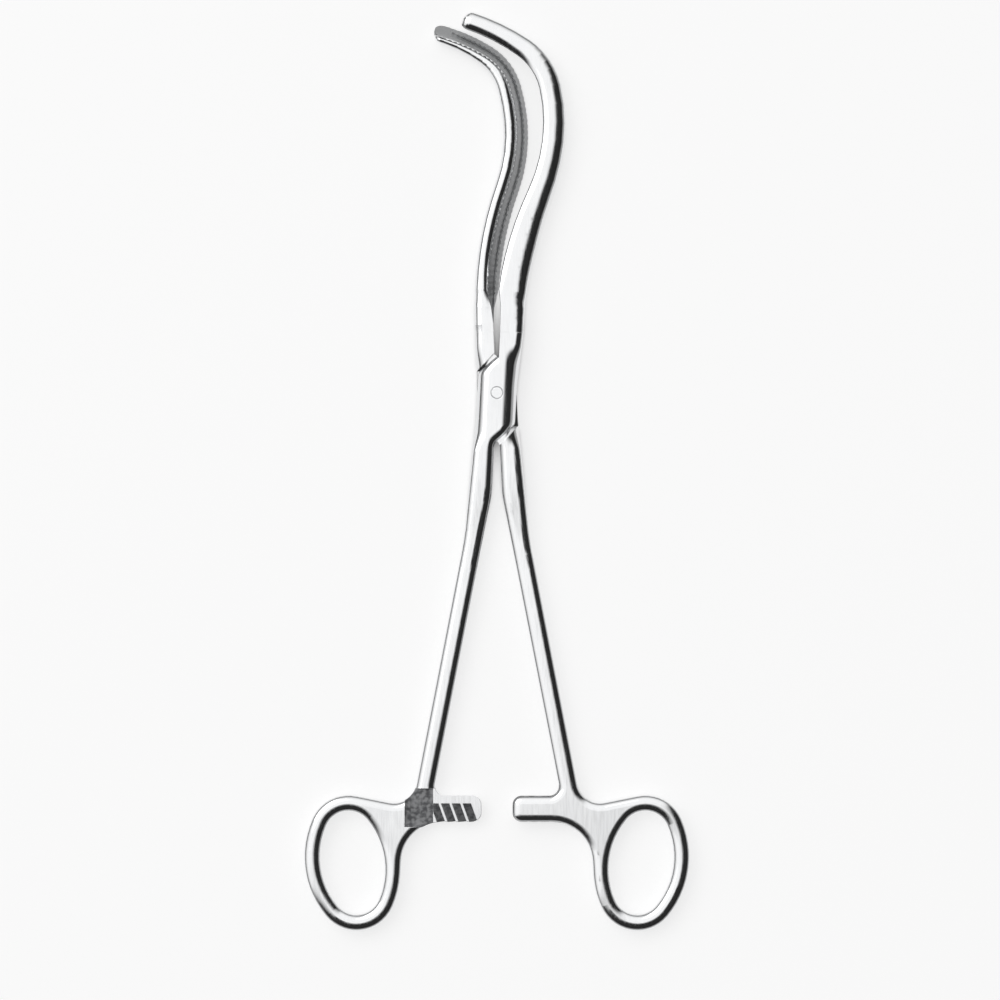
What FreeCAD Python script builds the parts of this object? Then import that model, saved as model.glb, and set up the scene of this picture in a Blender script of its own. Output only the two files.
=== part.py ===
"""Ring-handled vascular clamp with a box lock, S-shaped jaws and a ratchet.

Both halves are drawn closed, with the meeting line of the closed clamp along +Y and the pivot at
the origin. Each half is drawn the same way round: handle at the lower left, jaw at the upper right,
ratchet teeth facing up. The inner half is then turned over about the Y axis, and each half is swung
by half the rest opening. The underside of the lock lies at z = 0.
"""
import FreeCAD, Part
import math
import os
from FreeCAD import Placement, Rotation, Vector

# Driving sizes: millimetres and degrees
SIZES = {
    "rest_opening": 5.4,
    "lock_thickness": 7.0,
    "lock_half_width": 5.15,
    "lock_reach_up": 10.1,
    "lock_reach_down": 13.3,
    "lock_end_slope": 43.0,
    "lock_corner": 2.6,
    "lock_side_blend": 40.0,
    "lock_side_start": 2.0,
    "tongue_thickness": 2.4,
    "tongue_play": 0.07,
    "shoulder_play": 0.35,
    "meeting_play": 0.1,
    "pin_radius": 1.6,
    "pin_play": 0.05,
    "pin_chamfer": 0.15,
    "edge_radius": 2.05,
    "shank_thickness": 4.4,
    "shank_width": 5.0,
    "shank_angle": 8.35,
    "shank_fork": 27.0,
    "fork_blend": 30.0,
    "neck_start": 8.0,
    "neck_swell": 1.7,
    "neck_blend": 90.0,
    "shank_taper_start": 15.0,
    "shank_taper_end": 47.0,
    "ring_across": 32.1,
    "ring_down": 125.2,
    "ring_opening_width": 16.8,
    "ring_opening_length": 27.4,
    "ring_end_radius": 6.3,
    "ring_band": 4.2,
    "ring_tilt": 10.7,
    "web_top_across": 17.2,
    "web_top_rise": 15.4,
    "web_root_across": 19.2,
    "web_top_blend": 6.0,
    "web_root_blend": 10.8,
    "bar_top_rise": 19.3,
    "bar_height": 6.9,
    "bar_end": 4.1,
    "bar_crest": 0.1,
    "bar_end_corner": 2.4,
    "bar_root_blend": 2.5,
    "bar_rail": 2.1,
    "bar_margin": 2.0,
    "bar_lower_margin": 1.2,
    "catch_pitch": 2.85,
    "catch_count": 4,
    "catch_depth": 0.75,
    "catch_start": 16.8,
    "catch_slant": 20.0,
    "catch_land": 0.34,
    "pocket_depth": 0.3,
    "pocket_length": 7.4,
    "jaw_base": 16.0,
    "jaw_base_step": 0.08,
    "box_jaw_base_back": 6.2,
    "box_jaw_back": 4.7,
    "box_jaw_tip_back": 3.4,
    "box_jaw_swell_end": 20.0,
    "box_jaw_short": 0.8,
    "inner_jaw_base_back": 4.8,
    "inner_jaw_back": 5.1,
    "inner_jaw_tip_back": 3.2,
    "inner_jaw_swell_end": 0.0,
    "inner_jaw_short": 2.9,
    "jaw_thinning_length": 28.0,
    "jaw_rounding_length": 22.0,
    "jaw_tip_taper": 35.0,
    "jaw_depth": 3.3,
    "jaw_tip_depth": 2.6,
    "jaw_cant": 26.0,
    "jaw_tip_cant": 41.0,
    "jaw_cant_start": 4.0,
    "jaw_cant_end": 12.5,
    "jaw_tip_rounding": 2.2,
    "jaw_edge_chamfer": 0.45,
    "jaw_base_chamfer": 0.05,
    "first_bend_radius": 93.0,
    "first_bend_turn": 22.2,
    "second_bend_radius": 43.5,
    "second_bend_turn": 36.9,
    "third_bend_radius": 16.2,
    "third_bend_turn": 41.0,
    "tip_bend_radius": 47.7,
    "tip_bend_turn": 19.5,
    "straight_run": 2.0,
    "tooth_pitch": 1.5,
    "tooth_depth": 0.26,
    "tooth_land": 0.12,
    "tooth_start": 9.5,
    "trough_start": 3.0,
    "trough_width": 2.0,
    "trough_depth": 0.42,
    "trough_slope": 0.12,
    "trough_fade": 9.0,
    "trough_end": 4.5,
}

STATION_STEP = 5.0
STATION_TURN = 8.0
OUTLINE_POINTS = 11
TIP_RINGS = 4
TIP_LAST_TURN = 76.0

# Which way the jaw of each half bends, and whether its face carries a ridge (1) or a trough (-1)
BENDS = {"box": 1, "inner": -1}
RELIEFS = {"box": 1, "inner": -1}

doc = FreeCAD.newDocument("vascular_clamp")
sheet = doc.addObject("Spreadsheet::Sheet", "Sizes")
for row, (name, value) in enumerate(SIZES.items(), start=1):
    sheet.set(f"A{row}", name)
    sheet.set(f"B{row}", str(value))
    sheet.setAlias(f"B{row}", name)
doc.recompute()


def size(name):
    """Reads one driving size from the sheet."""
    return float(sheet.get(name))


def swung(across, along, angle):
    """Turns a plan point about the pivot, anticlockwise, in degrees."""
    turn = math.radians(angle)
    x = across * math.cos(turn) - along * math.sin(turn)
    y = across * math.sin(turn) + along * math.cos(turn)
    return Vector(x, y, 0)


def crossing(start, way, other_start, other_way):
    """Point where two plan lines meet, each given by a point and a direction."""
    cross = way.x * other_way.y - way.y * other_way.x
    gap = other_start - start
    along = (gap.x * other_way.y - gap.y * other_way.x) / cross
    return start + way * along


def rounded_run(corners):
    """Lines and tangent arcs through a run of (corner, radius), open at both ends."""
    edges = []
    last = corners[0][0]
    for i in range(1, len(corners) - 1):
        corner, radius = corners[i]
        before = (corners[i - 1][0] - corner).normalize()
        after = (corners[i + 1][0] - corner).normalize()
        if radius > 0:
            half = before.getAngle(after) / 2
            reach = radius / math.tan(half)
            start = corner + before * reach
            end = corner + after * reach
            middle = (before + after).normalize()
            deep = corner + middle * (radius / math.sin(half) - radius)
            edges.append(Part.LineSegment(last, start))
            edges.append(Part.Arc(start, deep, end))
            last = end
        else:
            edges.append(Part.LineSegment(last, corner))
            last = corner
    edges.append(Part.LineSegment(last, corners[-1][0]))
    return edges


def closed_polygon(points):
    """Straight edges round a list of plan points."""
    return [Part.LineSegment(points[i - 1], points[i]) for i in range(len(points))]


def plane_of(body, role):
    """One of a body's own origin planes, found by its role."""
    return next(part for part in body.Origin.OriginFeatures if part.Role == role)


def sketch_on(body, name, role, geometry, height=None):
    """A sketch on an origin plane of its body, lifted by an expression where one is given."""
    sketch = body.newObject("Sketcher::SketchObject", name)
    sketch.AttachmentSupport = (plane_of(body, role), [""])
    sketch.MapMode = "FlatFace"
    if height:
        sketch.setExpression("AttachmentOffset.Base.z", height)
    for element in geometry:
        sketch.addGeometry(element, False)
    return sketch


def pocket(body, name, sketch, depth=None):
    """A pocket downward from its sketch, through everything where no depth is given."""
    cut = body.newObject("PartDesign::Pocket", name)
    cut.Profile = sketch
    if depth:
        cut.setExpression("Length", depth)
    else:
        cut.Type = "ThroughAll"
    return cut


def ring_axes():
    """Centre of the finger ring, and the directions of its long and short axes."""
    centre = Vector(-size("ring_across"), -size("ring_down"), 0)
    tilt = math.radians(size("ring_tilt"))
    return centre, Vector(-math.sin(tilt), math.cos(tilt), 0), Vector(-math.cos(tilt), -math.sin(tilt), 0)


def ring_arcs(band):
    """The four arcs of the ring's oval, grown by a band, each as (middle, radius, start, end).

    Angles run anticlockwise from the long axis, in radians.
    """
    centre, long_way, short_way = ring_axes()
    half_width = size("ring_opening_width") / 2
    end_radius = size("ring_end_radius")
    reach = size("ring_opening_length") / 2 - end_radius
    side_radius = (reach ** 2 + half_width ** 2 - end_radius ** 2) / (2 * (half_width - end_radius))
    sink = side_radius - half_width
    split = math.atan2(sink, reach)
    arcs = []
    for i in range(2):
        way = 1 - 2 * i
        turn = math.pi * i
        arcs.append((centre + long_way * reach * way, end_radius + band, turn - split, turn + split))
        arcs.append((centre - short_way * sink * way, side_radius + band, turn + split, turn + math.pi - split))
    return arcs


def ring_part(middle, radius, start, end):
    """One arc of the ring between two angles."""
    centre, long_way, short_way = ring_axes()
    points = []
    for angle in (start, (start + end) / 2, end):
        points.append(middle + (long_way * math.cos(angle) + short_way * math.sin(angle)) * radius)
    return Part.Arc(*points)


def ring_tangent(point, side):
    """Angle on the outside of the ring where a line from a point touches it."""
    centre, long_way, short_way = ring_axes()
    for middle, radius, start, end in ring_arcs(size("ring_band")):
        away = point - middle
        if away.Length <= radius:
            continue
        angle = math.atan2(away.dot(short_way), away.dot(long_way)) + side * math.acos(radius / away.Length)
        past = (angle - start) % (2 * math.pi)
        if past <= end - start:
            return start + past
    raise RuntimeError("no line from that point touches the ring")


def ring_run(start, end):
    """Arcs of the outside of the ring, anticlockwise from one angle to another."""
    parts = []
    if end < start:
        end += 2 * math.pi
    for turn in (0, 2 * math.pi):
        for middle, radius, first, last in ring_arcs(size("ring_band")):
            low = max(first + turn, start)
            high = min(last + turn, end)
            if high > low:
                parts.append(ring_part(middle, radius, low, high))
    return parts


def lock_end_drop(across):
    """How far the slanted end of the lock drops over a distance across it."""
    return across * math.tan(math.radians(size("lock_end_slope")))


def bar_point(across, down):
    """Plan point given in the rest pose, where the ratchet bars lie level."""
    return swung(across, down, size("rest_opening") / 2)


def bar_level():
    """Height of the bar's upper edge in the rest pose."""
    return size("bar_top_rise") - size("ring_down")


def half_outline(jaw_back):
    """Plan outline of one half, from the foot of its jaw down to its finger ring."""
    half = size("lock_half_width")
    gap = size("meeting_play")
    foot = size("jaw_base")
    top = size("lock_reach_up")
    bottom = size("lock_reach_down")
    lean = math.radians(size("shank_angle"))
    shank_way = Vector(-math.sin(lean), -math.cos(lean), 0)
    fork = Vector(-gap, -size("shank_fork"), 0)
    outer = fork + Vector(-math.cos(lean), math.sin(lean), 0) * size("shank_width")
    level = bar_point(1, 0)
    bar_top = bar_point(-size("bar_end"), bar_level())
    bar_bottom = bar_point(-size("bar_end"), bar_level() - size("bar_height"))
    web_top = Vector(-size("web_top_across"), size("web_top_rise") - size("ring_down"), 0)
    web_root = crossing(bar_bottom, level, Vector(-size("web_root_across"), 0, 0), Vector(0, 1, 0))
    neck = crossing(outer, shank_way, Vector(-half - size("neck_swell"), 0, 0), Vector(0, 1, 0))
    ring = ring_run(ring_tangent(web_top, 1), ring_tangent(web_root, -1))
    run = [
        (ring[-1].EndPoint, 0),
        (web_root, size("web_root_blend")),
        (bar_bottom, size("bar_end_corner")),
        (bar_top, size("bar_end_corner")),
        (crossing(bar_top, level, fork, shank_way), size("bar_root_blend")),
        (fork, size("fork_blend")),
        (Vector(-gap, -bottom, 0), size("lock_corner")),
        (Vector(half, -bottom + lock_end_drop(half + gap), 0), size("lock_corner")),
        (Vector(half, size("lock_side_start"), 0), size("lock_side_blend")),
        (Vector(jaw_back, foot, 0), 0),
        (Vector(gap, foot, 0), 0),
        (Vector(gap, top, 0), 0),
        (Vector(-half, top - lock_end_drop(half + gap), 0), size("lock_corner")),
        (Vector(-half, -size("neck_start"), 0), size("neck_blend")),
        (neck, size("neck_blend")),
        (web_top, size("web_top_blend")),
        (ring[0].StartPoint, 0),
    ]
    return rounded_run(run) + ring


def thinning(top, sign):
    """Side outline of what is taken off the lock's thickness to leave the shank, on one face."""
    start = -size("shank_taper_start")
    end = -size("shank_taper_end")
    drop = (size("lock_thickness") - size("shank_thickness")) / 2
    run = (start - end) / 2
    radius = (run ** 2 + (drop / 2) ** 2) / drop
    sag = radius - math.sqrt(radius ** 2 - (run / 2) ** 2)
    far = -size("ring_down") - size("ring_opening_length")
    points = [Vector(start, top, 0), Vector((start + end) / 2, top - sign * drop / 2, 0),
              Vector(end, top - sign * drop, 0)]
    first = Part.Arc(points[0], Vector(start - run / 2, top - sign * sag, 0), points[1])
    second = Part.Arc(points[1], Vector(end + run / 2, top - sign * (drop - sag), 0), points[2])
    corners = [points[2], Vector(far, points[2].y, 0), Vector(far, top + sign, 0),
               Vector(start, top + sign, 0), points[0]]
    lines = [Part.LineSegment(corners[i], corners[i + 1]) for i in range(len(corners) - 1)]
    return [first, second] + lines


def side_edges(shape):
    """Names of the edges between the flat faces and the side walls, all round the outline."""
    names = []
    for index, edge in enumerate(shape.Edges, start=1):
        middle = edge.valueAt((edge.FirstParameter + edge.LastParameter) / 2)
        if middle.y > size("jaw_base") - 0.01:
            continue
        if middle.y > size("lock_reach_up") and middle.x < 1:
            continue
        tilts = []
        for face in shape.ancestorsOfType(edge, Part.Face):
            u, v = face.Surface.parameter(middle)
            tilts.append(abs(face.normalAt(u, v).z))
        if min(tilts) < 0.1 and max(tilts) > 0.9:
            names.append(f"Edge{index}")
    return names


def meeting_zone():
    """Plan of the zone where one half passes through the other, between the slanted shoulders."""
    reach = size("lock_half_width") + 3
    slant = size("shoulder_play") / math.cos(math.radians(size("lock_end_slope")))
    top = size("lock_reach_up") + slant
    bottom = -size("lock_reach_down") - slant
    drop = lock_end_drop(reach)
    plan = [(0, top), (reach, top - drop), (reach, bottom), (0, bottom), (-reach, bottom + drop), (-reach, top)]
    return closed_polygon([Vector(x, y, 0) for x, y in plan])


def catch_plan(left, right):
    """Plan of the level ratchet zone between two distances from the middle of the clamp."""
    top = bar_level() + size("bar_margin")
    bottom = bar_level() - size("bar_height") - size("bar_lower_margin")
    return closed_polygon([bar_point(-left, top), bar_point(-right, top),
                           bar_point(-right, bottom), bar_point(-left, bottom)])


def forging(name, jaw_back, is_box):
    """Handle, lock and jaw foot of one half, before its jaw is joined on."""
    body = doc.addObject("PartDesign::Body", name)
    plan = sketch_on(body, name + "_plan", "XY_Plane", half_outline(jaw_back))
    blank = body.newObject("PartDesign::Pad", name + "_blank")
    blank.Profile = plan
    blank.setExpression("Length", "Sizes.lock_thickness")
    oval = [ring_part(*arc) for arc in ring_arcs(0)]
    opening = sketch_on(body, name + "_finger", "XY_Plane", oval, "Sizes.lock_thickness")
    pocket(body, name + "_finger_hole", opening)
    for side, top, sign in (("front", size("lock_thickness"), 1), ("back", 0, -1)):
        profile = sketch_on(body, f"{name}_{side}_profile", "YZ_Plane", thinning(top, sign))
        thin = pocket(body, f"{name}_{side}_thinning", profile)
        thin.Midplane = True
        doc.recompute()
    rounding = body.newObject("PartDesign::Fillet", name + "_rounding")
    rounding.Base = (thin, side_edges(thin.Shape))
    rounding.setExpression("Radius", "Sizes.edge_radius")
    left = size("catch_start") + size("pocket_length")
    crest = sketch_on(body, name + "_bar_plan", "XY_Plane",
                      catch_plan(left, size("bar_end") - size("bar_margin")), "Sizes.lock_thickness")
    pocket(body, name + "_bar_face", crest, "Sizes.lock_thickness / 2 + Sizes.bar_crest")
    root = sketch_on(body, name + "_root_plan", "XY_Plane", catch_plan(left, size("catch_start")),
                     "Sizes.lock_thickness")
    pocket(body, name + "_root_pocket", root,
           "Sizes.lock_thickness / 2 + Sizes.bar_crest + Sizes.pocket_depth")
    if is_box:
        slot = sketch_on(body, name + "_slot_plan", "XY_Plane", meeting_zone(),
                         "(Sizes.lock_thickness + Sizes.tongue_thickness) / 2 + Sizes.tongue_play")
        pocket(body, name + "_slot", slot, "Sizes.tongue_thickness + 2 * Sizes.tongue_play")
    else:
        cheek = "(Sizes.lock_thickness - Sizes.tongue_thickness) / 2"
        for side, height in (("front", "Sizes.lock_thickness"), ("back", cheek)):
            relief = sketch_on(body, f"{name}_{side}_plan", "XY_Plane", meeting_zone(), height)
            pocket(body, f"{name}_{side}_relief", relief, cheek)
    bore_radius = size("pin_radius") + (0 if is_box else size("pin_play"))
    circle = Part.Circle(Vector(0, 0, 0), Vector(0, 0, 1), bore_radius)
    bore = sketch_on(body, name + "_bore_plan", "XY_Plane", [circle], "Sizes.lock_thickness")
    pocket(body, name + "_bore", bore)
    return body


def jaw_runs():
    """The straight start of the jaw and its four bends, as (length, turn) with the turn in radians."""
    runs = [(size("straight_run"), 0.0)]
    for bend, sign in (("first", 1), ("second", -1), ("third", -1), ("tip", -1)):
        turn = math.radians(size(bend + "_bend_turn"))
        runs.append((turn * size(bend + "_bend_radius"), sign * turn))
    return runs


def jaw_length():
    """Length of the jaw along its meeting curve."""
    return sum(length for length, turn in jaw_runs())


def jaw_frame(distance, bend):
    """Point on the meeting curve, its direction, and the direction square to it in plan."""
    x, y, heading = 0.0, size("jaw_base"), 0.0
    left = distance
    for length, turn in jaw_runs():
        part = min(left, length)
        turned = turn * part / length
        chord = part if abs(turned) < 1e-9 else part * math.sin(turned / 2) / (turned / 2)
        x += chord * math.sin(heading + turned / 2)
        y += chord * math.cos(heading + turned / 2)
        heading += turned
        left -= part
        if left <= 0:
            break
    way = Vector(bend * math.sin(heading), math.cos(heading), 0)
    point = Vector(bend * x, y, size("lock_thickness") / 2)
    return point, way, Vector(way.y, -way.x, 0)


def eased(value, start, end):
    """Smooth step from 0 at the start to 1 at the end."""
    share = min(max((value - start) / (end - start), 0), 1)
    return share * share * (3 - 2 * share)


def jaw_shape_at(distance, half):
    """Half width, half depth, corner radius and cant of one half's jaw at one distance along it."""
    swell_end = size(half + "_jaw_swell_end")
    lead = eased(distance, swell_end, swell_end + size("jaw_thinning_length"))
    toward_tip = eased(distance, jaw_length() - size("jaw_tip_taper"), jaw_length())
    base = size(half + "_jaw_base_back")
    back = size(half + "_jaw_back")
    width = base + (back - base) * lead + (size(half + "_jaw_tip_back") - back) * toward_tip
    base_depth = size("lock_thickness") / 2 - size("jaw_base_step")
    depth = base_depth + (size("jaw_depth") - base_depth) * lead
    depth += (size("jaw_tip_depth") - size("jaw_depth")) * toward_tip
    rounded = eased(distance, 0, size("jaw_rounding_length"))
    corner = size("edge_radius") + (min(width, depth) - size("edge_radius")) * rounded
    cant = size("jaw_cant") * eased(distance, size("jaw_cant_start"), size("jaw_cant_end"))
    cant += (size("jaw_tip_cant") - size("jaw_cant")) * toward_tip
    return width, depth, corner, math.radians(cant)


def section_radius(angle, width, depth, corner):
    """Distance from the middle to a rounded rectangle, in one direction."""
    across = abs(math.cos(angle))
    up = abs(math.sin(angle))
    inner_width = width - corner
    inner_depth = depth - corner
    if up > 1e-9 and depth / up * across <= inner_width:
        return depth / up
    if across > 1e-9 and width / across * up <= inner_depth:
        return width / across
    along = across * inner_width + up * inner_depth
    return along + math.sqrt(max(along ** 2 - inner_width ** 2 - inner_depth ** 2 + corner ** 2, 0))


def jaw_section(distance, half, scale=1.0):
    """Closed section of a jaw: a rounded back, and a canted face with its trough or its ridge."""
    point, way, across = jaw_frame(distance, BENDS[half])
    width, depth, corner, cant = jaw_shape_at(distance, half)
    shown = eased(distance, size("trough_start"), size("tooth_start"))
    plain = size("jaw_base_chamfer")
    chamfer = plain + (size("jaw_edge_chamfer") - plain) * shown
    upward = Vector(0, 0, 1)

    def place(sideways, height):
        return point + (across * sideways + upward * height) * scale

    def on_face(up, out):
        return place(-up * math.sin(cant) - out * math.cos(cant), up * math.cos(cant) - out * math.sin(cant))

    first = cant + math.pi / 2
    reach = section_radius(first, width, depth, corner)
    skip = chamfer / reach
    outline = []
    for i in range(OUTLINE_POINTS):
        angle = first - skip - i * (math.pi - 2 * skip) / (OUTLINE_POINTS - 1)
        radius = section_radius(angle, width, depth, corner)
        outline.append(place(radius * math.cos(angle), radius * math.sin(angle)))
    curve = Part.BSplineCurve()
    curve.interpolate(Points=outline, Parameters=[float(i) for i in range(OUTLINE_POINTS)])

    land = -size("meeting_play")
    fade = eased(jaw_length() - distance, size("trough_end"), size("trough_fade"))
    middle = land + RELIEFS[half] * size("trough_depth") * shown * fade
    slope = size("trough_slope")
    edge = reach - chamfer
    low_edge = section_radius(first - math.pi, width, depth, corner) - chamfer
    trough = size("trough_width") / 2
    face = [on_face(-low_edge, land), on_face(-trough - slope, land), on_face(-trough + slope, middle),
            on_face(trough - slope, middle), on_face(trough + slope, land), on_face(edge, land)]
    corners = [outline[-1]] + face + [outline[0]]
    edges = [curve.toShape()]
    edges += [Part.makeLine(corners[i], corners[i + 1]) for i in range(len(corners) - 1)]
    return Part.Wire(edges)


def jaw_end(half):
    """Distance along the meeting curve at which the rounding of a jaw's tip begins."""
    return jaw_length() - size(half + "_jaw_short")


def jaw_stations(half):
    """Distances of the sections along a jaw, closer together where it bends more."""
    stations = [0.0]
    for length, turn in jaw_runs():
        steps = math.ceil(max(length / STATION_STEP, math.degrees(abs(turn)) / STATION_TURN))
        begin = stations[-1]
        stations += [begin + length * (i + 1) / steps for i in range(steps)]
    stations[-1] = jaw_end(half)
    return stations


def tooth_gap(distance, half):
    """The V-shaped gap between two teeth, across the face of a jaw."""
    point, way, across = jaw_frame(distance, BENDS[half])
    width, depth, corner, cant = jaw_shape_at(distance, half)
    up = Vector(0, 0, 1) * math.cos(cant) - across * math.sin(cant)
    out = -across * math.cos(cant) - Vector(0, 0, 1) * math.sin(cant)
    crest = -size("meeting_play")
    reach = section_radius(cant + math.pi / 2, width, depth, corner)
    if RELIEFS[half] > 0:
        crest += size("trough_depth")
        reach = size("trough_width") / 2 + 2 * size("trough_slope")
    sunk = size("tooth_depth")
    open_half = size("tooth_pitch") * (1 - size("tooth_land")) / 2
    base = point + out * (crest + sunk) - up * reach
    corners = [base - way * 2 * open_half, base + way * 2 * open_half, base - out * 2 * sunk]
    return Part.Face(Part.makePolygon(corners + corners[:1])).extrude(up * 2 * reach)


def jaw(half):
    """The curved jaw of one half, with a rounded tip and the gaps between its teeth cut out."""
    sections = [jaw_section(at, half) for at in jaw_stations(half)]
    end = jaw_end(half)
    way = jaw_frame(end, BENDS[half])[1]
    for i in range(1, TIP_RINGS + 1):
        turn = math.radians(TIP_LAST_TURN) * i / TIP_RINGS
        ring = jaw_section(end, half, math.cos(turn))
        ring.translate(way * size("jaw_tip_rounding") * math.sin(turn))
        sections.append(ring)
    first = size("tooth_start")
    pitch = size("tooth_pitch")
    gaps = [tooth_gap(first + i * pitch, half) for i in range(int((end - first) / pitch))]
    return Part.makeLoft(sections, True, True).cut(Part.makeCompound(gaps))


def catch_gaps():
    """Slanted saw-tooth gaps of the ratchet bar, steep on the side toward its own shank."""
    pitch = size("catch_pitch")
    crest = size("lock_thickness") / 2 - size("bar_crest")
    top = bar_level() - size("bar_rail")
    height = size("bar_height") - size("bar_rail") + size("bar_lower_margin")
    drift = height * math.tan(math.radians(size("catch_slant")))
    way = bar_point(drift, -height)
    gaps = []
    for i in range(int(size("catch_count"))):
        left = -size("catch_start") + i * pitch
        right = left + pitch - size("catch_land")
        profile = [(left, crest + size("bar_crest")), (right, crest + size("bar_crest")),
                   (right, crest - size("catch_depth"))]
        corners = [bar_point(x - drift / 2, top) + Vector(0, 0, z) for x, z in profile]
        face = Part.Face(Part.makePolygon(corners + corners[:1]))
        gaps.append(face.extrude(way))
    return gaps


def whole_half(name, half, placement):
    """One whole half of the clamp: its forging with the ratchet's gaps cut, joined with its jaw."""
    handle = forging(half, size(half + "_jaw_base_back"), half == "box")
    gaps = doc.addObject("Part::Feature", half + "_catch_gaps")
    gaps.Shape = Part.makeCompound(catch_gaps())
    toothed = doc.addObject("Part::Cut", half + "_toothed")
    toothed.Base = handle
    toothed.Tool = gaps
    blade = doc.addObject("Part::Feature", half + "_jaw")
    blade.Shape = jaw(half)
    whole = doc.addObject("Part::MultiFuse", half + "_whole")
    whole.Shapes = [toothed, blade]
    whole.Label = name
    whole.Placement = placement
    return whole


def pivot_pin():
    """The pivot pin, ground flush with both faces of the lock."""
    body = doc.addObject("PartDesign::Body", "pin")
    radius = size("pin_radius")
    top = size("lock_thickness")
    trim = size("pin_chamfer")
    plan = [(0, 0), (radius - trim, 0), (radius, trim), (radius, top - trim), (radius - trim, top), (0, top)]
    profile = sketch_on(body, "pin_profile", "XZ_Plane", closed_polygon([Vector(x, y, 0) for x, y in plan]))
    turned = body.newObject("PartDesign::Revolution", "pin_turned")
    turned.Profile = profile
    turned.ReferenceAxis = (profile, ["V_Axis"])
    turned.Angle = 360
    body.Label = "pivot_pin"
    return body


swing = size("rest_opening") / 2
upright = Vector(0, 0, 1)
turned_over = Placement(Vector(0, 0, size("lock_thickness")), Rotation(Vector(0, 1, 0), 180))
swung_left = Placement(Vector(0, 0, 0), Rotation(upright, swing))
swung_right = Placement(Vector(0, 0, 0), Rotation(upright, -swing))
box_half = whole_half("box_half", "box", swung_right)
inner_half = whole_half("inner_half", "inner", swung_left.multiply(turned_over))
pin = pivot_pin()
doc.recompute()

for thing in doc.Objects:
    if "Invalid" in thing.State or "Error" in thing.State:
        raise RuntimeError(f"{thing.Name} did not build: {thing.State}")

os.makedirs("parts", exist_ok=True)
for node in (box_half, inner_half, pin):
    if node.Shape.isNull() or not node.Shape.isValid():
        raise RuntimeError(f"{node.Label} has no valid shape")
    node.Shape.exportStep(f"parts/{node.Label}.step")
    print(node.Label, len(node.Shape.Solids), round(node.Shape.Volume, 1), len(node.Shape.Faces))
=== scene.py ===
"""Looks of a ring-handled vascular clamp that lies on a white table, seen from straight above.

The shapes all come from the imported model. This script gives each node its steel, lays the table
under the clamp, lights it softly from the upper left and sets the camera over it.
"""
from __future__ import annotations

import logging
import math
from dataclasses import dataclass, field
from enum import Enum

import bmesh
import bpy
from mathutils import Matrix, Vector

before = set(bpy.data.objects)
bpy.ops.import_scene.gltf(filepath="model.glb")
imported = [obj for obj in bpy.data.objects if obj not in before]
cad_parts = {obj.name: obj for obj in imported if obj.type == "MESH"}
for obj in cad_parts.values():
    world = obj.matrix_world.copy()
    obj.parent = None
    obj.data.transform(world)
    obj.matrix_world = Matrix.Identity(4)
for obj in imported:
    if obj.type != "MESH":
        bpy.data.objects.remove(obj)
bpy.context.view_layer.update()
LOG = logging.getLogger("clamp")
Feed = bpy.types.NodeSocket | float | tuple[float, ...]


class GrainRun(Enum):
    """The way that the polishing lines run, as stretches of the pattern along X, Y and Z."""

    LENGTHWISE = (1.0, 0.06, 1.0)
    EVEN = (1.0, 1.0, 1.0)


class BackSide(Enum):
    """The side on which a jaw has its round back, seen from above."""

    RIGHT = -1.0
    LEFT = 1.0


class Net:
    """Adds nodes to one node tree and joins their sockets."""

    def __init__(self, tree: bpy.types.NodeTree) -> None:
        """Takes the tree that the nodes go into."""
        self.nodes = tree.nodes
        self.links = tree.links

    def put(self, kind: str, **settings: object) -> bpy.types.Node:
        """Adds one node.

        Args:
            kind: Type name of the node.
            settings: Its settings by name.

        Returns:
            The node.
        """
        node = self.nodes.new(kind)
        for name, value in settings.items():
            setattr(node, name, value)
        return node

    def feed(self, socket: bpy.types.NodeSocket, value: Feed) -> None:
        """Joins another socket to a socket, or sets its plain value.

        Args:
            socket: Input that is fed.
            value: Socket or plain value that it gets.
        """
        if isinstance(value, bpy.types.NodeSocket):
            self.links.new(value, socket)
        else:
            socket.default_value = value

    def math(self, operation: str, *values: Feed) -> bpy.types.NodeSocket:
        """Works out one number.

        Args:
            operation: Name of the operation.
            values: Numbers or sockets that it takes.

        Returns:
            The socket with the result.
        """
        node = self.put("ShaderNodeMath", operation=operation)
        for socket, value in zip(node.inputs, values):
            self.feed(socket, value)
        return node.outputs["Value"]

    def vector(self, operation: str, *values: Feed) -> bpy.types.Node:
        """Works out one vector, or a length or product of vectors.

        Args:
            operation: Name of the operation.
            values: Vectors or sockets that it takes.

        Returns:
            The node, whose output depends on the operation.
        """
        node = self.put("ShaderNodeVectorMath", operation=operation)
        for socket, value in zip(node.inputs, values):
            self.feed(socket, value)
        return node

    def ease(self, value: Feed, low: float, high: float, at_low: float = 0.0,
             at_high: float = 1.0) -> bpy.types.NodeSocket:
        """Eases a number from one level to another.

        Args:
            value: Number that is read.
            low: Reading at which the change starts.
            high: Reading at which it ends.
            at_low: Level at the start.
            at_high: Level at the end.

        Returns:
            The socket with the eased level.
        """
        node = self.put("ShaderNodeMapRange", interpolation_type="SMOOTHSTEP")
        for name, given in (("Value", value), ("From Min", low), ("From Max", high),
                            ("To Min", at_low), ("To Max", at_high)):
            self.feed(node.inputs[name], given)
        return node.outputs["Result"]

    def blend(self, kind: str, share: Feed, first: Feed, second: Feed) -> bpy.types.NodeSocket:
        """Blends two numbers or colours.

        Args:
            kind: FLOAT or RGBA.
            share: Share of the second one.
            first: Value where the share is 0.
            second: Value where the share is 1.

        Returns:
            The socket with the blend.
        """
        node = self.put("ShaderNodeMix", data_type=kind)
        self.feed(node.inputs["Factor"], share)
        self.feed(node.inputs["A"], first)
        self.feed(node.inputs["B"], second)
        return node.outputs["Result"]


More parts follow.
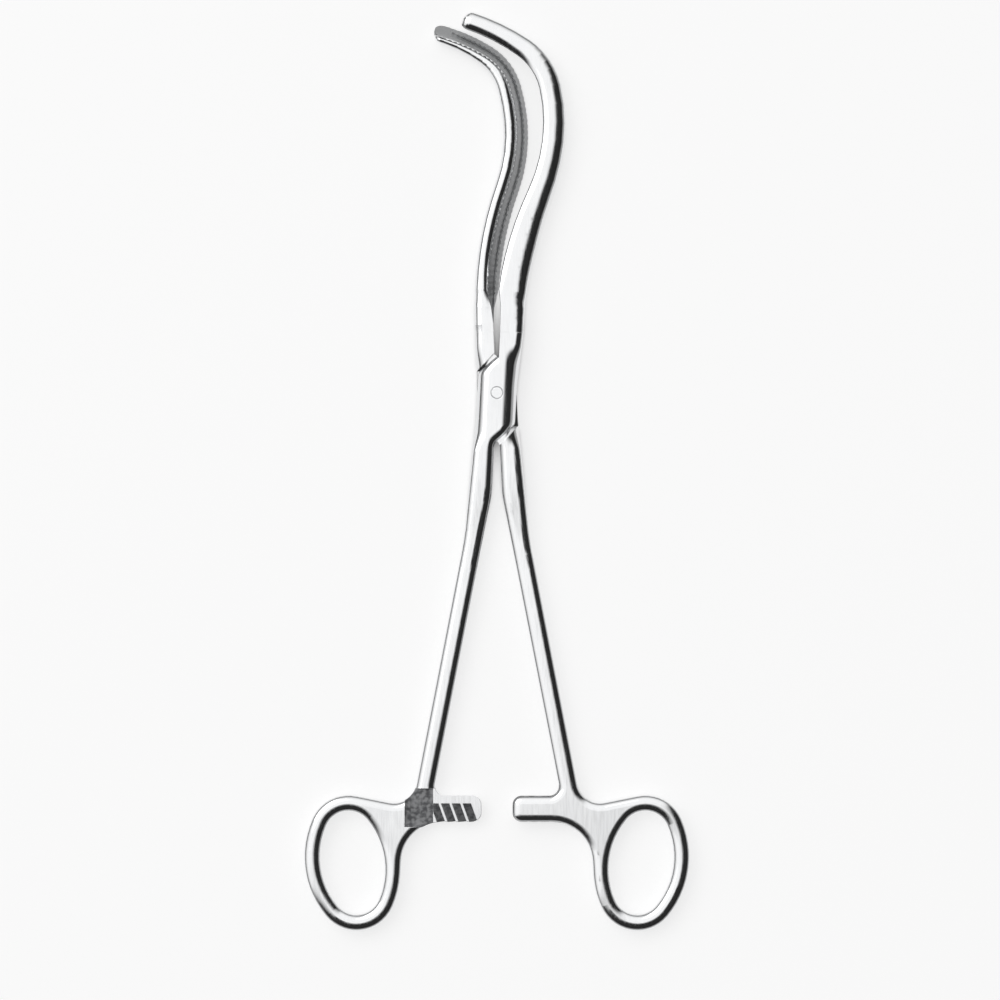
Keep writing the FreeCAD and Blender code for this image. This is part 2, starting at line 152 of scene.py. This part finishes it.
@dataclass(frozen=True)
class Bend:
    """One bend of the curve on which the jaws meet, in plan.

    Attributes:
        centre: Middle of the bend's circle, in metres.
        radius: Radius of the bend, in metres.
        begin: Point at which the bend starts, in metres.
        way: Direction of the curve at that point.
        turn: 1 where the bend goes to the right, and -1 where it goes to the left.
    """

    centre: Vector
    radius: float
    begin: Vector
    way: Vector
    turn: float


@dataclass(frozen=True)
class JawSweep:
    """The curve on which the two jaws meet, carried round with one half.

    Attributes:
        swing: Turn of the half about the pivot at rest, in degrees, anticlockwise.
        start: Distance of the jaw's foot from the pivot, in metres.
        straight: Length of the jaw's straight start, in metres.
        turns: Radius in metres of each bend, and its turn in degrees, to the right where positive.
    """

    swing: float
    start: float = 0.016
    straight: float = 0.002
    turns: tuple[tuple[float, float], ...] = (
        (0.093, 22.2),
        (0.0435, -36.9),
        (0.0162, -41.0),
        (0.0477, -19.5),
    )

    def bends(self) -> list[Bend]:
        """Walks along the curve.

        Returns:
            Its bends, from the lock to the tip.
        """
        swung = Matrix.Rotation(math.radians(self.swing), 3, "Z")
        place = swung @ Vector((0.0, self.start + self.straight, 0.0))
        way = swung @ Vector((0.0, 1.0, 0.0))
        made = []
        for radius, degrees in self.turns:
            turn = math.copysign(1.0, degrees)
            centre = place + Vector((way.y, -way.x, 0.0)) * radius * turn
            made.append(Bend(centre, radius, place.copy(), way.copy(), turn))
            spin = Matrix.Rotation(-math.radians(degrees), 3, "Z")
            place = centre + spin @ (place - centre)
            way = spin @ way
        return made

    def sideways(self, net: Net, place: Feed) -> bpy.types.NodeSocket:
        """Builds the nodes that find how far a point lies to the right of the curve.

        Args:
            net: Nodes of the material.
            place: Object coordinates.

        Returns:
            The socket with the distance, in metres.
        """
        flat = net.vector("MULTIPLY", place, (1.0, 1.0, 0.0)).outputs["Vector"]
        found: Feed = 0.0
        for bend in self.bends():
            reach = net.vector("DISTANCE", flat, tuple(bend.centre)).outputs["Value"]
            out = net.math("MULTIPLY", net.math("SUBTRACT", bend.radius, reach), bend.turn)
            on_bend = net.math("GREATER_THAN", self.past(net, flat, bend), 0.0)
            found = net.blend("FLOAT", on_bend, found, out)
        return found

    @staticmethod
    def past(net: Net, flat: Feed, bend: Bend) -> bpy.types.NodeSocket:
        """Builds the nodes that find how far a point in plan lies past a bend's start, in metres."""
        ahead = net.vector("SUBTRACT", flat, tuple(bend.begin)).outputs["Vector"]
        return net.vector("DOT_PRODUCT", ahead, tuple(bend.way)).outputs["Value"]


@dataclass(frozen=True)
class MilledShadeZone:
    """A milled place on a ratchet bar, left darker than the polished steel round it: partly its
    duller milling, partly painted shade in the recess and the tooth gaps.

    Attributes:
        low: Lowest corner of the place, in metres.
        high: Highest corner of the place, in metres.
        soft: How far the dullness and painted shade fade at the sides, in metres.
        crisp: How far it fades at the top and bottom, in metres.
    """

    low: tuple[float, float, float]
    high: tuple[float, float, float]
    soft: float = 0.00005
    crisp: float = 0.00001

    def share(self, net: Net, place: Feed) -> bpy.types.NodeSocket:
        """Builds the nodes that find the milled place.

        Args:
            net: Nodes of the material.
            place: Object coordinates.

        Returns:
            A socket that is 1 on the milled place and 0 elsewhere.
        """
        split = net.put("ShaderNodeSeparateXYZ")
        net.feed(split.inputs["Vector"], place)
        inside: Feed = 1.0
        fades = (self.soft, self.soft, self.crisp)
        for axis, low, high, fade in zip("XYZ", self.low, self.high, fades):
            middle = (low + high) / 2
            reach = (high - low) / 2
            off = net.math("ABSOLUTE", net.math("SUBTRACT", split.outputs[axis], middle))
            near = net.ease(off, reach - fade, reach + fade, 1.0, 0.0)
            inside = net.math("MULTIPLY", inside, near)
        return inside


@dataclass(frozen=True)
class HalfForm:
    """What the work on one half left: crowned faces, a ground tooth face and milled places, the last
    two darkened partly for their duller finish and partly as painted shade.

    Attributes:
        sweep: Curve on which the jaws meet.
        back: Side on which the half's jaw has its back.
        milled_and_shaded: The milled places of its ratchet bar, darkened with painted shade as well
            as a duller finish: the recess at the root and the tooth gaps.
        jaw_flat: Edge of the jaw's flat top, from the meeting curve to the other jaw, in metres.
        jaw_crown: How fast the top of the jaw falls off past that, as slope for each metre.
        jaw_foot: Distance from the foot of the jaw over which the crown grows, in metres.
        face_edge: Upper edge of the ground face, measured as the flat top is, in metres.
        face_start: Distance from the foot of the jaw at which the grinding starts, in metres.
        face_lean: How far up or down the ground face faces, as the middle of its range.
        face_range: How far the facing of its teeth differs from that.
        lock_flat: Half the width of the flat of the lock, in metres.
        lock_crown: How fast the lock falls off past that, as slope for each metre.
        lock_low: Lower end of the lock's crowned part, in metres.
        lock_high: Upper end of it, in metres.
        fade: Length over which the lock's crown and the grinding grow and fade, in metres.
    """

    sweep: JawSweep
    back: BackSide
    milled_and_shaded: tuple[MilledShadeZone, ...]
    jaw_flat: float
    jaw_crown: float
    jaw_foot: float = 0.02
    face_edge: float = -0.0017
    face_start: float = -0.004
    face_lean: float = 0.38
    face_range: float = 0.6
    lock_flat: float = 0.0013
    lock_crown: float = 150.0
    lock_low: float = -0.016
    lock_high: float = 0.013
    fade: float = 0.006

    def milled_shade_share(self, net: Net, place: Feed) -> bpy.types.NodeSocket:
        """Builds the nodes that find all the milled places, which get painted shade.

        Args:
            net: Nodes of the material.
            place: Object coordinates.

        Returns:
            A socket that is 1 on them and 0 elsewhere.
        """
        found: Feed = 0.0
        for zone in self.milled_and_shaded:
            found = net.math("MAXIMUM", found, zone.share(net, place))
        return found

    def inward(self, net: Net, place: Feed) -> bpy.types.NodeSocket:
        """Builds the nodes that find how far a point lies toward the other jaw, in metres."""
        return net.math("MULTIPLY", self.sweep.sideways(net, place), self.back.value)

    def along(self, net: Net, place: Feed) -> bpy.types.NodeSocket:
        """Builds the nodes that find how far a point lies past the foot of the jaw, in metres."""
        return self.sweep.past(net, place, self.sweep.bends()[0])

    @staticmethod
    def fall(net: Net, distance: Feed, flat: float, rate: float) -> bpy.types.NodeSocket:
        """Builds the nodes for a face that is flat up to a distance and then falls off at a rate."""
        past = net.math("MAXIMUM", net.math("SUBTRACT", distance, flat), 0.0)
        return net.math("MULTIPLY", net.math("MULTIPLY", past, past), -rate / 2)

    def jaw_fall(self, net: Net, place: Feed) -> bpy.types.NodeSocket:
        """Builds the nodes for the height that the top of the jaw lacks, in metres."""
        drop = self.fall(net, self.inward(net, place), self.jaw_flat, self.jaw_crown)
        return net.math("MULTIPLY", drop, net.ease(self.along(net, place), 0.0, self.jaw_foot))

    def lock_fall(self, net: Net, place: Feed) -> bpy.types.NodeSocket:
        """Builds the nodes for the height that the faces of the lock lack.

        Args:
            net: Nodes of the material.
            place: Object coordinates.

        Returns:
            The socket with the height, in metres.
        """
        turned = net.put("ShaderNodeMapping")
        net.feed(turned.inputs["Vector"], place)
        turned.inputs["Rotation"].default_value = (0.0, 0.0, -math.radians(self.sweep.swing))
        split = net.put("ShaderNodeSeparateXYZ")
        net.feed(split.inputs["Vector"], turned.outputs["Vector"])
        side = net.math("ABSOLUTE", split.outputs["X"])
        drop = self.fall(net, side, self.lock_flat, self.lock_crown)
        lengthwise = split.outputs["Y"]
        rising = net.ease(lengthwise, self.lock_low, self.lock_low + self.fade)
        falling = net.ease(lengthwise, self.lock_high - self.fade, self.lock_high, 1.0, 0.0)
        return net.math("MULTIPLY", drop, net.math("MULTIPLY", rising, falling))

    def crown(self, net: Net, place: Feed) -> bpy.types.NodeSocket:
        """Builds the nodes for the height that the crowned faces lack, in metres."""
        return net.math("ADD", self.jaw_fall(net, place), self.lock_fall(net, place))

    def ground(self, net: Net, place: Feed, facing: Feed) -> bpy.types.NodeSocket:
        """Builds the nodes that find the ground, toothed face of the jaw.

        Args:
            net: Nodes of the material.
            place: Object coordinates.
            facing: Direction that the surface faces.

        Returns:
            A socket that is 1 on the toothed face and 0 elsewhere.
        """
        split = net.put("ShaderNodeSeparateXYZ")
        net.feed(split.inputs["Vector"], facing)
        up = net.math("MULTIPLY", split.outputs["Z"], self.back.value)
        sloping = net.math("COMPARE", up, self.face_lean, self.face_range)
        inner = net.math("GREATER_THAN", self.inward(net, place), self.face_edge)
        jaw = net.ease(self.along(net, place), self.face_start, self.face_start + self.fade)
        return net.math("MULTIPLY", net.math("MULTIPLY", sloping, inner), jaw)


@dataclass(frozen=True)
class SteelFinish:
    """A polished stainless steel with faint polishing lines and soft cloudy patches.

    Attributes:
        name: Name of the material.
        light: Colour of the brighter patches, as linear RGB.
        dull: Colour of the duller patches, as linear RGB.
        milled_and_shaded: Colour of milled and ground faces, darker partly for their rougher finish
            and partly as painted shade on the sloping tooth face, as linear RGB.
        recess_shade_colour: Colour of the milled recess and tooth gaps, partly their duller milling
            and partly painted shade, as linear RGB.
        smooth: Roughness of the best polished spots.
        rough: Roughness of the dullest spots.
        milled_rough: Roughness of milled and ground faces.
        grain: The way that the polishing lines run.
        lines_per_metre: How close the polishing lines lie.
        line_height: Height of a polishing line, in metres.
        clouds_per_metre: How close the cloudy patches lie.
        cloud_detail: How fine the cloudy patches break up.
        line_detail: How fine the polishing lines break up.
        line_range: Levels of the lines' pattern for the best and the dullest polish.
        specks_per_metre: How close the bright specks of the milled places lie.
        speck_detail: How fine the specks break up.
        speck_range: Levels of the specks' pattern between which they fade.
        speck_dullness: How dull the brightest specks still are, from 0 to 1.
        edge_wear: How far the polishing has softened the edges, in metres.
        edge_samples: How finely the soft edges are worked out.
        flattening: Sideways lean of the polished edges, as a share of a true round's.
    """

    name: str
    light: tuple[float, float, float] = (0.86, 0.865, 0.87)
    dull: tuple[float, float, float] = (0.78, 0.785, 0.795)
    # Darker than the polish: partly the rougher cut finish, partly painted shade.
    milled_and_shaded: tuple[float, float, float] = (0.42, 0.425, 0.43)
    recess_shade_colour: tuple[float, float, float] = (0.13, 0.132, 0.138)
    smooth: float = 0.08
    rough: float = 0.17
    milled_rough: float = 0.45
    grain: GrainRun = GrainRun.LENGTHWISE
    lines_per_metre: float = 2600.0
    line_height: float = 0.0000012
    clouds_per_metre: float = 140.0
    cloud_detail: float = 4.0
    line_detail: float = 3.0
    line_range: tuple[float, float] = (0.3, 0.7)
    specks_per_metre: float = 900.0
    speck_detail: float = 3.0
    speck_range: tuple[float, float] = (0.35, 0.65)
    speck_dullness: float = 0.72
    edge_wear: float = 0.00025
    edge_samples: int = 4
    flattening: float = 0.55

    def material(self, form: HalfForm | None = None) -> bpy.types.Material:
        """Builds the steel's nodes.

        Args:
            form: What the work on a half left on it, for a half.

        Returns:
            The finished material.
        """
        made = bpy.data.materials.new(self.name)
        made.use_nodes = True
        net = Net(made.node_tree)
        shader = net.nodes["Principled BSDF"]
        shader.inputs["Metallic"].default_value = 1.0
        place = net.put("ShaderNodeTexCoord").outputs["Object"]
        stretch = net.put("ShaderNodeMapping")
        stretch.inputs["Scale"].default_value = self.grain.value
        net.feed(stretch.inputs["Vector"], place)
        clouds = self.noise(net, place, self.clouds_per_metre, self.cloud_detail)
        lines = self.noise(net, stretch.outputs["Vector"], self.lines_per_metre, self.line_detail)
        colour = net.blend("RGBA", clouds, (*self.dull, 1.0), (*self.light, 1.0))
        roughness = net.ease(lines, *self.line_range, self.smooth, self.rough)
        normal = self.softened(net)
        if form is not None:
            facing = net.put("ShaderNodeNewGeometry").outputs["Normal"]
            # Painted shade: the sloping tooth face is darkened beyond its rougher ground finish.
            ground = form.ground(net, place, facing)
            specks = self.noise(net, place, self.specks_per_metre, self.speck_detail)
            dullness = net.ease(specks, *self.speck_range, self.speck_dullness, 1.0)
            # Painted shade: the milled recess and tooth gaps get a dark colour, partly for their
            # duller milling.
            recess_shade = net.math("MULTIPLY", form.milled_shade_share(net, place), dullness)
            colour = net.blend("RGBA", ground, colour, (*self.milled_and_shaded, 1.0))
            colour = net.blend("RGBA", recess_shade, colour, (*self.recess_shade_colour, 1.0))
            cut = net.math("MAXIMUM", ground, recess_shade)
            roughness = net.blend("FLOAT", cut, roughness, self.milled_rough)
            normal = self.relief(net, form.crown(net, place), 1.0, normal)
        normal = self.relief(net, lines, self.line_height, normal)
        net.feed(shader.inputs["Base Color"], colour)
        net.feed(shader.inputs["Roughness"], roughness)
        net.feed(shader.inputs["Normal"], normal)
        return made

    def softened(self, net: Net) -> bpy.types.NodeSocket:
        """Builds the nodes for edges that the polishing wheel has softened.

        Args:
            net: Nodes of the material.

        Returns:
            The socket with the softened normal.
        """
        worn = net.put("ShaderNodeBevel", samples=self.edge_samples)
        worn.inputs["Radius"].default_value = self.edge_wear
        squash = (self.flattening, self.flattening, 1.0)
        flat = net.vector("MULTIPLY", worn.outputs["Normal"], squash)
        return net.vector("NORMALIZE", flat.outputs["Vector"]).outputs["Vector"]

    @staticmethod
    def noise(net: Net, place: Feed, scale: float, detail: float) -> bpy.types.NodeSocket:
        """Adds one noise pattern.

        Args:
            net: Nodes of the material.
            place: Coordinates that it reads.
            scale: How close its spots lie, for each metre.
            detail: How fine its spots break up.

        Returns:
            The socket with the pattern.
        """
        pattern = net.put("ShaderNodeTexNoise")
        pattern.inputs["Scale"].default_value = scale
        pattern.inputs["Detail"].default_value = detail
        net.feed(pattern.inputs["Vector"], place)
        return pattern.outputs["Fac"]

    @staticmethod
    def relief(net: Net, height: Feed, distance: float, normal: Feed) -> bpy.types.NodeSocket:
        """Adds a relief to a normal.

        Args:
            net: Nodes of the material.
            height: Height of the relief.
            distance: Metres that a height of 1 stands for.
            normal: Normal that the relief is added to.

        Returns:
            The socket with the new normal.
        """
        bump = net.put("ShaderNodeBump")
        bump.inputs["Strength"].default_value = 1.0
        bump.inputs["Distance"].default_value = distance
        net.feed(bump.inputs["Height"], height)
        net.feed(bump.inputs["Normal"], normal)
        return bump.outputs["Normal"]


@dataclass
class ClampPart:
    """One rigid part of the clamp, shown as its own node with its steel on it.

    Attributes:
        node: Name of the part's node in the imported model.
        finish: The steel that it is made of.
        form: What the work on it left, for a half.
    """

    node: str
    finish: SteelFinish
    form: HalfForm | None = None

    def build(self) -> bpy.types.Object:
        """Gives the part its steel.

        Returns:
            The part's object.
        """
        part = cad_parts[self.node]
        part.data.materials.clear()
        part.data.materials.append(self.finish.material(self.form))
        return part


@dataclass
class Table:
    """The white table that the clamp lies on.

    Attributes:
        half_side: Half the side of the table top, in metres.
        paint: Brightness of the table top under white light.
        lift: Light that the table top adds where it is seen or mirrored, which makes it white.
        shade_reach: How far the painted shade under and between the parts reaches, in metres.
        shade_samples: How finely the shade is worked out.
        shade_dark: Share of open sky at which the painted shade is black.
        shade_light: Share of open sky past which there is no painted shade.
        height: Height of the table top, in metres.
    """

    half_side: float = 1.5
    paint: float = 0.4
    lift: float = 0.71
    shade_reach: float = 0.0022
    shade_samples: int = 8
    shade_dark: float = 0.18
    shade_light: float = 0.75
    height: float = -0.00002

    def build(self) -> bpy.types.Object:
        """Lays the table top under the clamp.

        Returns:
            The table top.
        """
        sheet = bpy.data.meshes.new("table_top")
        shape = bmesh.new()
        bmesh.ops.create_grid(shape, x_segments=1, y_segments=1, size=self.half_side)
        bmesh.ops.translate(shape, verts=shape.verts, vec=(0.0, 0.0, self.height))
        shape.to_mesh(sheet)
        shape.free()
        top = bpy.data.objects.new("table_top", sheet)
        bpy.context.scene.collection.objects.link(top)
        top.data.materials.append(self.surface())
        return top

    def surface(self) -> bpy.types.Material:
        """Builds the table's matt white surface.

        Returns:
            A matt white that keeps the clamp's shadow, with a glow that is dimmed by painted shade
            under and between the parts.
        """
        made = bpy.data.materials.new("table_white")
        made.use_nodes = True
        net = Net(made.node_tree)
        net.nodes.clear()
        matt = net.put("ShaderNodeBsdfDiffuse")
        matt.inputs["Color"].default_value = (self.paint, self.paint, self.paint, 1.0)
        seen = net.put("ShaderNodeLightPath")
        direct = net.math("MAXIMUM", seen.outputs["Is Camera Ray"], seen.outputs["Is Glossy Ray"])
        direct = net.math("MAXIMUM", direct, seen.outputs["Is Transmission Ray"])
        # Painted shade: the table's added glow is dimmed where little sky is open, under and between
        # the parts.
        near = net.put("ShaderNodeAmbientOcclusion", samples=self.shade_samples)
        near.inputs["Distance"].default_value = self.shade_reach
        glow = net.put("ShaderNodeEmission")
        open_sky = net.ease(near.outputs["AO"], self.shade_dark, self.shade_light)
        shaded = net.math("MULTIPLY", open_sky, direct)
        net.feed(glow.inputs["Strength"], net.math("MULTIPLY", shaded, self.lift))
        both = net.put("ShaderNodeAddShader")
        net.feed(both.inputs[0], matt.outputs["BSDF"])
        net.feed(both.inputs[1], glow.outputs["Emission"])
        out = net.put("ShaderNodeOutputMaterial")
        net.feed(out.inputs["Surface"], both.outputs["Shader"])
        return made


@dataclass
class Studio:
    """A soft light tent: white overhead and at the upper left, dark low down at the lower right.

    Attributes:
        dark_right: Level direction of the dark screen at the right.
        dark_near: Level direction of the dark screen at the near side.
        white: Brightness of the tent's white side.
        black: Brightness of its dark screens.
        fade_start: How far a direction leans toward a dark screen where the white starts to fade.
        fade_end: How far it leans where the screen begins.
        horizon: Height of a direction below which the tent fades to dark.
        glow: Brightness of the room that shows low down under the dark screens.
        glow_start: Height of a direction at which the glow starts to fade.
        glow_end: Height of a direction at which it has gone.
        key_place: Place of the large soft lamp, in metres.
        key_side: Side of the lamp's panel, in metres.
        key_watts: Power of the lamp.
    """

    dark_right: tuple[float, float, float] = (0.85, -0.53, 0.0)
    dark_near: tuple[float, float, float] = (0.33, -0.94, 0.0)
    white: float = 1.4
    black: float = 0.03
    fade_start: float = 0.03
    fade_end: float = 0.24
    horizon: float = 0.85
    glow: float = 0.5
    glow_start: float = 0.28
    glow_end: float = 0.54
    key_place: tuple[float, float, float] = (-0.75, 0.6, 1.2)
    key_side: float = 1.1
    key_watts: float = 4.0

    def build(self) -> None:
        """Sets the world and hangs the key lamp."""
        self.tent()
        self.key()

    def tent(self) -> None:
        """Makes the world a light tent that fades from white to dark toward the lower right."""
        world = bpy.data.worlds.new("light_tent")
        bpy.context.scene.world = world
        world.use_nodes = True
        net = Net(world.node_tree)
        net.nodes.clear()
        look = net.put("ShaderNodeTexCoord").outputs["Generated"]
        right = net.vector("DOT_PRODUCT", look, self.dark_right).outputs["Value"]
        nearer = net.vector("DOT_PRODUCT", look, self.dark_near).outputs["Value"]
        toward = net.math("MAXIMUM", right, nearer)
        split = net.put("ShaderNodeSeparateXYZ")
        net.feed(split.inputs["Vector"], look)
        fade = net.ease(toward, self.fade_start, self.fade_end, self.white, self.black)
        low = net.ease(split.outputs["Z"], 0.0, self.horizon, self.black, 1.0)
        glow = net.ease(split.outputs["Z"], self.glow_start, self.glow_end, self.glow, 0.0)
        glow = net.math("MULTIPLY", glow, net.ease(toward, self.fade_start, self.fade_end))
        light = net.math("ADD", net.math("MULTIPLY", fade, low), glow)
        seen = net.put("ShaderNodeLightPath").outputs["Is Camera Ray"]
        tent = net.put("ShaderNodeBackground")
        net.feed(tent.inputs["Strength"], net.blend("FLOAT", seen, light, 1.0))
        out = net.put("ShaderNodeOutputWorld")
        net.feed(out.inputs["Surface"], tent.outputs["Background"])

    def key(self) -> None:
        """Hangs the large soft lamp at the upper left."""
        lamp = bpy.data.lights.new("key_panel", "AREA")
        lamp.shape = "SQUARE"
        lamp.size = self.key_side
        lamp.energy = self.key_watts
        panel = bpy.data.objects.new("key_panel", lamp)
        panel.location = self.key_place
        aim = -Vector(self.key_place)
        panel.rotation_mode = "QUATERNION"
        panel.rotation_quaternion = aim.to_track_quat("-Z", "Y")
        bpy.context.scene.collection.objects.link(panel)


@dataclass
class Overhead:
    """The camera straight above the clamp, tips up in the picture.

    Attributes:
        middle: Point of the table under the middle of the picture, in metres.
        view_width: Width of the table that the picture takes in, in metres.
        lens: Focal length, in millimetres.
        sensor: Width of the sensor, in millimetres.
        farthest: Distance at which the camera stops seeing, in metres.
    """

    middle: tuple[float, float, float] = (0.00079, -0.02814, 0.0035)
    view_width: float = 0.263
    lens: float = 150.0
    sensor: float = 36.0
    farthest: float = 20.0

    def build(self) -> bpy.types.Object:
        """Sets the camera.

        Returns:
            The camera's object.
        """
        lens = bpy.data.cameras.new("overhead")
        lens.lens = self.lens
        lens.sensor_width = self.sensor
        lens.clip_end = self.farthest
        camera = bpy.data.objects.new("overhead", lens)
        height = self.view_width / 2 / math.tan(math.atan(self.sensor / 2 / self.lens))
        camera.location = Vector(self.middle) + Vector((0.0, 0.0, height))
        bpy.context.scene.collection.objects.link(camera)
        bpy.context.scene.camera = camera
        return camera


@dataclass
class Clamp:
    """The whole clamp: two halves that cross in the box lock, and the pin that they turn on.

    Attributes:
        swing: Half the angle at which the clamp stands open, in degrees.
        box_steel: Steel of the half with the box.
        inner_steel: Steel of the half that passes through the box.
        pin_steel: Steel of the pin, ground across its end.
        box_milled_shade: Milled places of the ratchet bar on the half with the box, open to the top,
            which get painted shade.
        inner_milled_shade: Milled places of the other ratchet bar, open to the underside, which get
            painted shade.
        parts: The parts, in the order in which they are dressed.
    """

    swing: float = 2.7
    box_steel: SteelFinish = SteelFinish("box_half_steel")
    inner_steel: SteelFinish = SteelFinish("inner_half_steel")
    pin_steel: SteelFinish = SteelFinish("ground_pin_steel", grain=GrainRun.EVEN, flattening=1.0)
    # These places get a dark colour that is partly duller milling and partly painted shade in the
    # recess and tooth gaps.
    box_milled_shade: tuple[MilledShadeZone, ...] = (
        MilledShadeZone((-0.0245, -0.1150, 0.0029), (-0.0165, -0.1030, 0.0032), soft=0.0006),
        MilledShadeZone((-0.0170, -0.1150, 0.0025), (-0.0035, -0.1030, 0.00338)),
    )
    inner_milled_shade: tuple[MilledShadeZone, ...] = (
        MilledShadeZone((0.0165, -0.1150, 0.0038), (0.0245, -0.1030, 0.0041), soft=0.0006),
        MilledShadeZone((0.0035, -0.1150, 0.00362), (0.0170, -0.1030, 0.0045)),
    )
    parts: list[ClampPart] = field(default_factory=list)

    def build(self) -> None:
        """Dresses each part and reports it."""
        box_form = HalfForm(JawSweep(-self.swing), BackSide.RIGHT, self.box_milled_shade,
                            jaw_flat=-0.0006, jaw_crown=300.0)
        inner_form = HalfForm(JawSweep(self.swing), BackSide.LEFT, self.inner_milled_shade,
                              jaw_flat=-0.0048, jaw_crown=240.0)
        self.parts = [
            ClampPart("box_half", self.box_steel, box_form),
            ClampPart("inner_half", self.inner_steel, inner_form),
            ClampPart("pivot_pin", self.pin_steel),
        ]
        for part in self.parts:
            made = part.build()
            LOG.info("%s dressed in %s", made.name, part.finish.name)


def main() -> None:
    """Builds the camera, table, light and clamp in order."""
    logging.basicConfig(level=logging.INFO, format="%(message)s")
    bpy.context.scene.view_settings.view_transform = "Standard"
    Overhead().build()
    Table().build()
    Studio().build()
    Clamp().build()


if __name__ == "__main__":
    main()
